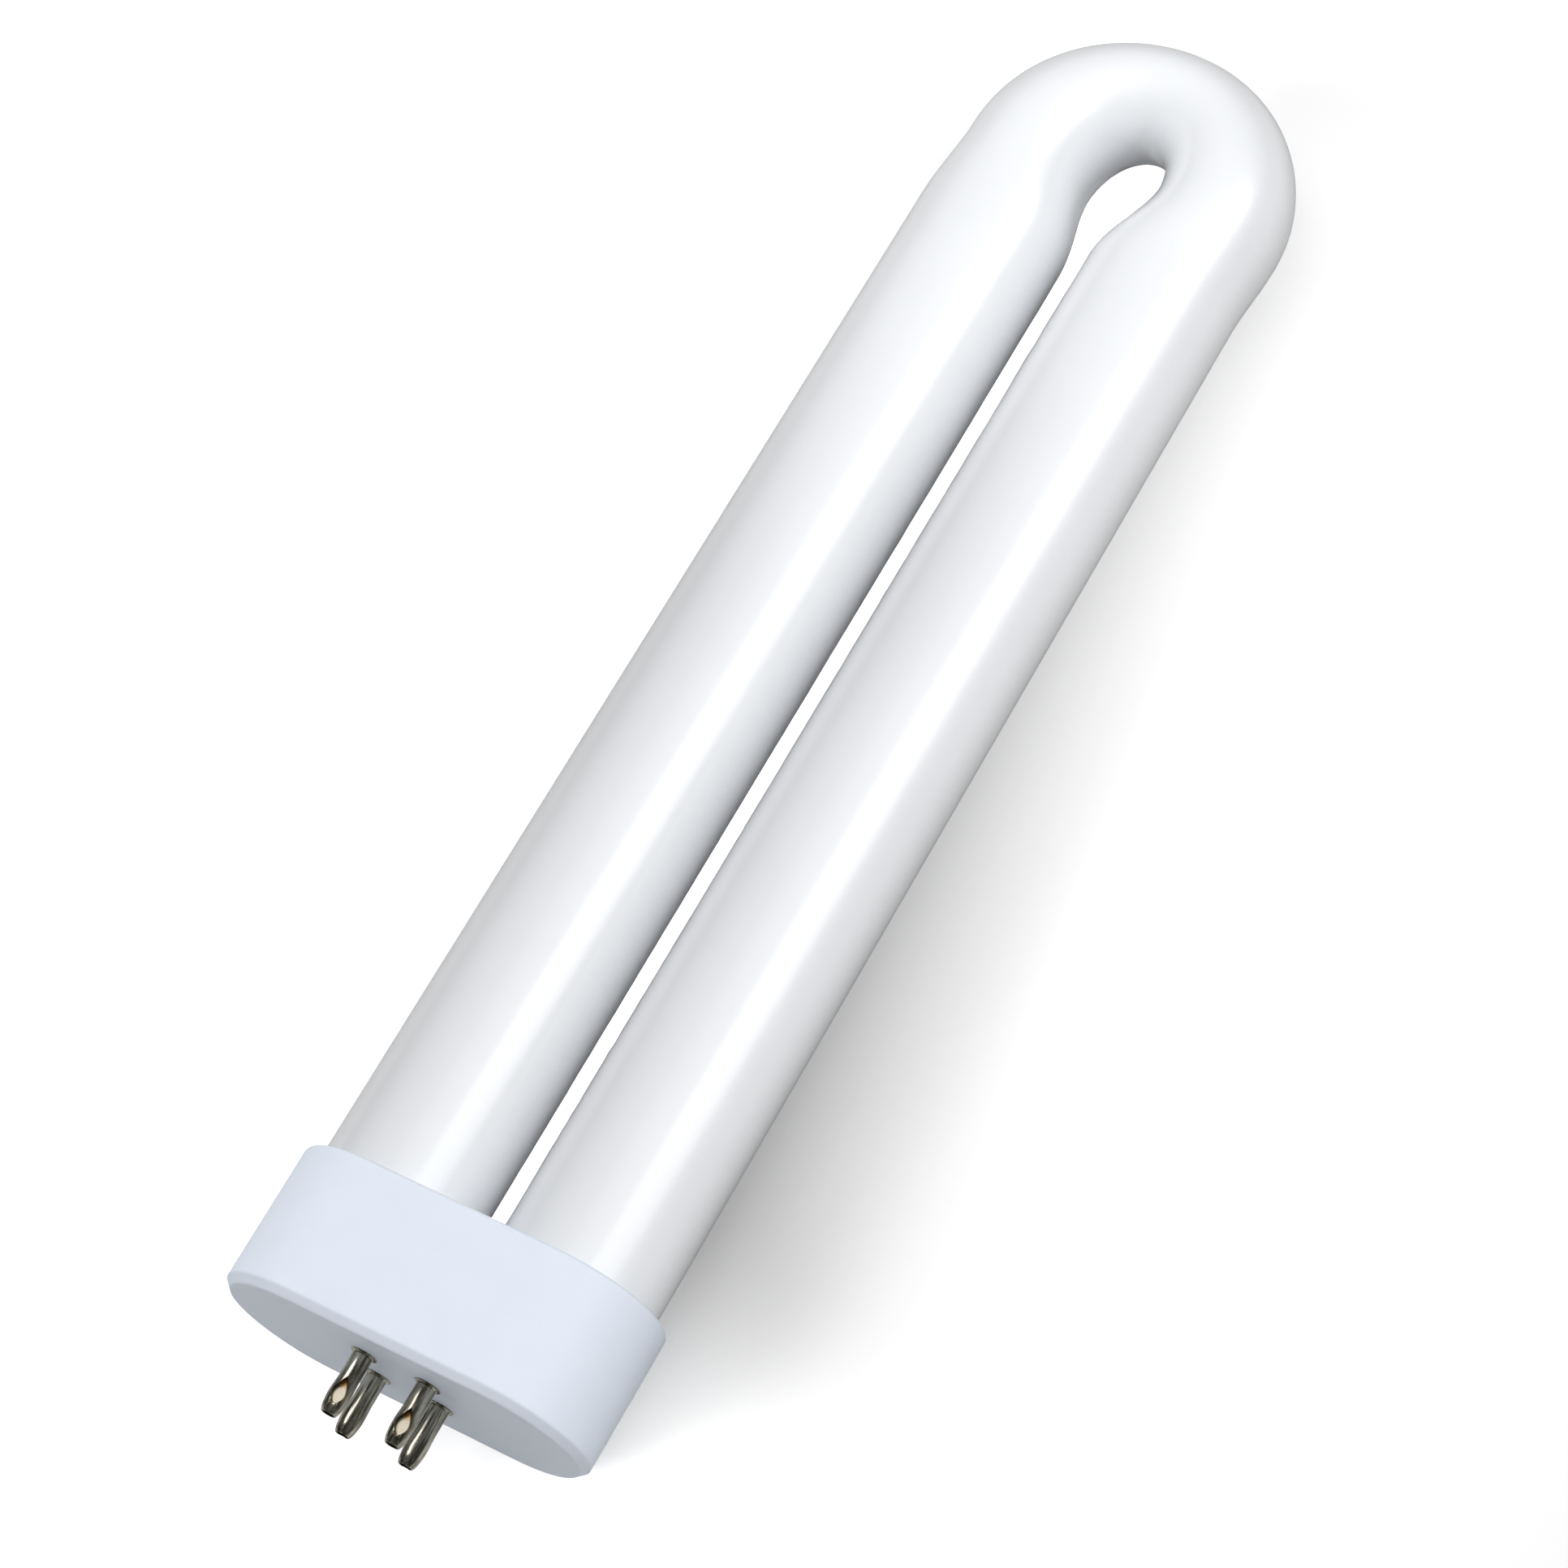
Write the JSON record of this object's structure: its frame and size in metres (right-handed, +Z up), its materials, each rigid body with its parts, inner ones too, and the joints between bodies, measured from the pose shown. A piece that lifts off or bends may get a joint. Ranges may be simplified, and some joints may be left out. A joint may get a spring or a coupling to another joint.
{
  "type": "bug zapper uv bulb",
  "caption": "U-shaped white glass black-light tube cemented into an oval moulded cap with hollow crimped contact pins, made to plug into the lampholder of an insect trap.",
  "frame": {"origin": "centre of the cap's flat end face, where the pins stand out", "axes": "+Y along the legs from the cap towards the bend, +X across the two legs, +Z up and square to the plane of the U, with the lamp lying on the broad side of its cap"},
  "size_m": [0.0448, 0.1928, 0.0216],
  "materials": {
    "coated_glass": "polished glass, white phosphor behind it",
    "cap_plastic": "smooth satin moulding",
    "pin_metal": "nickel-plated brass",
    "lead_wire": "copper-clad wire"
  },
  "bodies": {
    "root": {"glass_tube": "coated_glass", "base_cap": "cap_plastic", "pin_front_left": "pin_metal", "pin_back_left": "pin_metal", "pin_front_right": "pin_metal", "pin_back_right": "pin_metal", "lead_front_left": "lead_wire", "lead_back_left": "lead_wire", "lead_front_right": "lead_wire", "lead_back_right": "lead_wire"}
  },
  "joints": []
}
